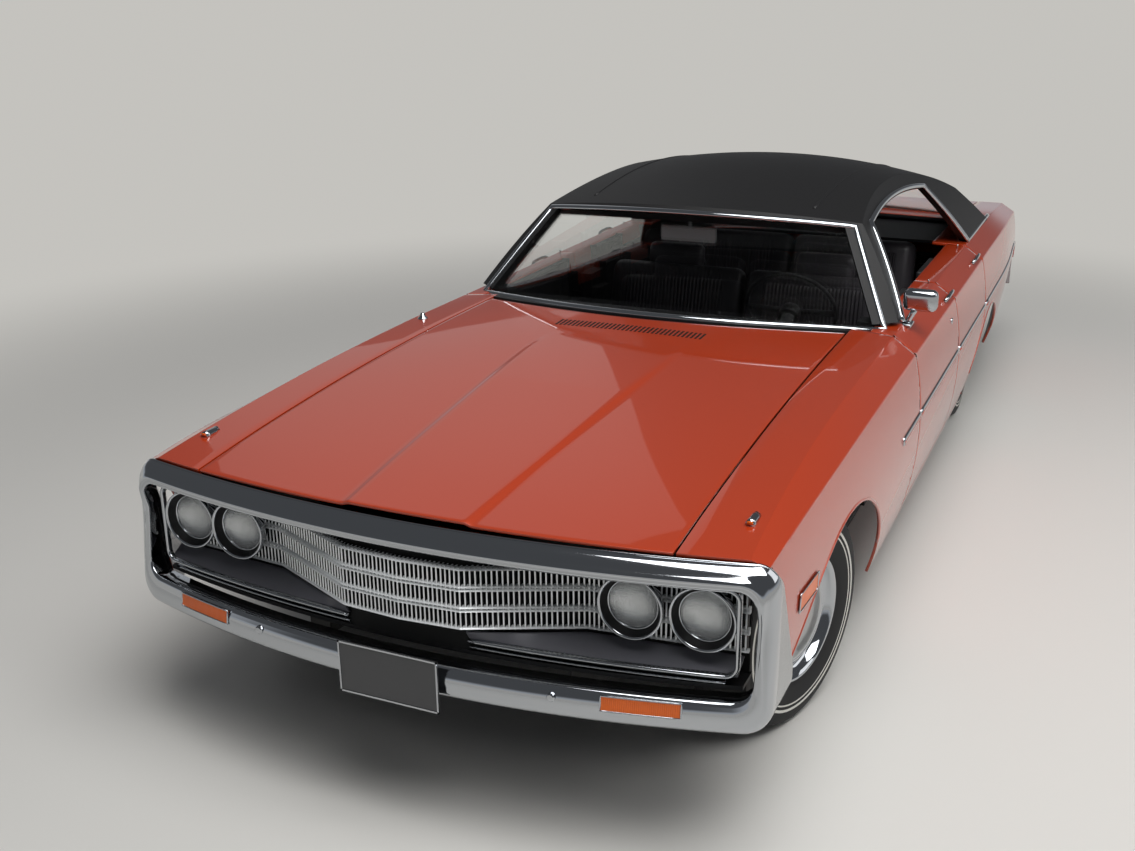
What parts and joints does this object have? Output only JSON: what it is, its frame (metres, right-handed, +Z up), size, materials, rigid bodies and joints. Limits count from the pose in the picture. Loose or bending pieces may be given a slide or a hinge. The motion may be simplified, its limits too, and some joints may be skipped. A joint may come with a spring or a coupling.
{
  "type": "four-door hardtop car",
  "caption": "Full-size four-door hardtop car with a loop front bumper, opening doors, hood and trunk lid, steered front wheels and turning wheels.",
  "frame": {"origin": "on the ground, midway between the ends and the sides of the car", "axes": "+Z up, the nose points along -Y, +X is the car's left side"},
  "size_m": [2.0092, 5.699, 1.4019],
  "materials": {
    "body_paint": "gloss",
    "chrome": "polished",
    "vinyl": "grained",
    "glass": "clear",
    "underbody_paint": "matte",
    "steel": "rough",
    "trim_black": "matte",
    "seat_vinyl": "satin",
    "tyre": "matte",
    "wheel_steel": "bright",
    "lamp_glass": "clear",
    "amber_lens": "clear",
    "red_lens": "clear"
  },
  "bodies": {
    "body": {"underbody": "underbody_paint", "firewall": "body_paint", "engine_bay_walls": "underbody_paint", "rockers": "body_paint", "front_fender_left": "body_paint", "front_fender_right": "body_paint", "quarter_panel_left": "body_paint", "quarter_panel_right": "body_paint", "tail_panel": "body_paint", "rear_shelf": "body_paint", "roof": "vinyl", "windshield": "glass", "rear_window": "glass", "door_posts": "body_paint", "door_hinges": "steel", "front_bumper": "chrome", "grille": "chrome", "grille_tray": "trim_black", "headlamps": "lamp_glass", "front_signal_lamps": "amber_lens", "rear_bumper": "chrome", "tail_lamps": "red_lens", "dashboard": "trim_black", "steering_column": "trim_black", "front_seat": "seat_vinyl", "rear_seat": "seat_vinyl", "inside_mirror": "chrome", "engine": "steel", "drive_shaft": "steel", "exhaust": "steel", "fuel_tank": "steel", "rear_axle": "steel", "leaf_springs": "steel", "front_suspension": "steel"},
    "door_front_left": {"door_front_left": "body_paint", "door_mirror": "chrome"},
    "door_front_right": {"door_front_right": "body_paint"},
    "door_rear_left": {"door_rear_left": "body_paint"},
    "door_rear_right": {"door_rear_right": "body_paint"},
    "hood": {"hood": "body_paint"},
    "trunk_lid": {"trunk_lid": "body_paint"},
    "steering_wheel": {"steering_wheel": "trim_black"},
    "knuckle_left": {"knuckle_left": "steel"},
    "knuckle_right": {"knuckle_right": "steel"},
    "wheel_front_left": {"wheel_front_left": "wheel_steel", "tyre_front_left": "tyre"},
    "wheel_front_right": {"wheel_front_right": "wheel_steel", "tyre_front_right": "tyre"},
    "wheel_rear_left": {"wheel_rear_left": "wheel_steel", "tyre_rear_left": "tyre"},
    "wheel_rear_right": {"wheel_rear_right": "wheel_steel", "tyre_rear_right": "tyre"}
  },
  "joints": [
    {"name": "door_front_left_swing", "type": "hinge", "parent": "body", "child": "door_front_left", "pos_m": [0.9795, -0.6695, 0.6], "axis": [0, 0, -1], "range_deg": [0, 65]},
    {"name": "door_front_right_swing", "type": "hinge", "parent": "body", "child": "door_front_right", "pos_m": [-0.9795, -0.6695, 0.6], "axis": [0, 0, 1], "range_deg": [0, 65]},
    {"name": "door_rear_left_swing", "type": "hinge", "parent": "body", "child": "door_rear_left", "pos_m": [0.9795, 0.268, 0.6], "axis": [0, 0, -1], "range_deg": [0, 65]},
    {"name": "door_rear_right_swing", "type": "hinge", "parent": "body", "child": "door_rear_right", "pos_m": [-0.9795, 0.268, 0.6], "axis": [0, 0, 1], "range_deg": [0, 65]},
    {"name": "hood_lift", "type": "hinge", "parent": "body", "child": "hood", "pos_m": [0, -0.8895, 0.936], "axis": [-1, 0, 0], "range_deg": [0, 50]},
    {"name": "trunk_lift", "type": "hinge", "parent": "body", "child": "trunk_lid", "pos_m": [0, 1.9805, 0.932], "axis": [1, 0, 0], "range_deg": [0, 75]},
    {"name": "steer_left", "type": "hinge", "parent": "body", "child": "knuckle_left", "pos_m": [0.68, -1.8745, 0.35], "axis": [0, 0, 1], "range_deg": [-19.5, 50.5]},
    {"name": "steer_right", "type": "hinge", "parent": "body", "child": "knuckle_right", "pos_m": [-0.68, -1.8745, 0.35], "axis": [0, 0, 1], "range_deg": [-19.5, 50.5]},
    {"name": "steering_wheel_turn", "type": "hinge", "parent": "body", "child": "steering_wheel", "pos_m": [0.38, -0.3295, 0.862], "axis": [0, 0.891, 0.454], "range_deg": [-960, 960]},
    {"name": "wheel_front_left_spin", "type": "hinge", "parent": "knuckle_left", "child": "wheel_front_left", "pos_m": [0.78455, -1.90349, 0.35], "axis": [0.9636, -0.2672, 0], "continuous": true},
    {"name": "wheel_front_right_spin", "type": "hinge", "parent": "knuckle_right", "child": "wheel_front_right", "pos_m": [-0.78455, -1.8455, 0.35], "axis": [0.9636, -0.2672, 0], "continuous": true},
    {"name": "wheel_rear_left_spin", "type": "hinge", "parent": "body", "child": "wheel_rear_left", "pos_m": [0.7885, 1.2755, 0.35], "axis": [1, 0, 0], "continuous": true},
    {"name": "wheel_rear_right_spin", "type": "hinge", "parent": "body", "child": "wheel_rear_right", "pos_m": [-0.7885, 1.2755, 0.35], "axis": [1, 0, 0], "continuous": true}
  ],
  "couplings": [
    {"joint": "steer_right", "follows": "steer_left", "ratio": 1},
    {"joint": "steering_wheel_turn", "follows": "steer_left", "ratio": -18}
  ]
}
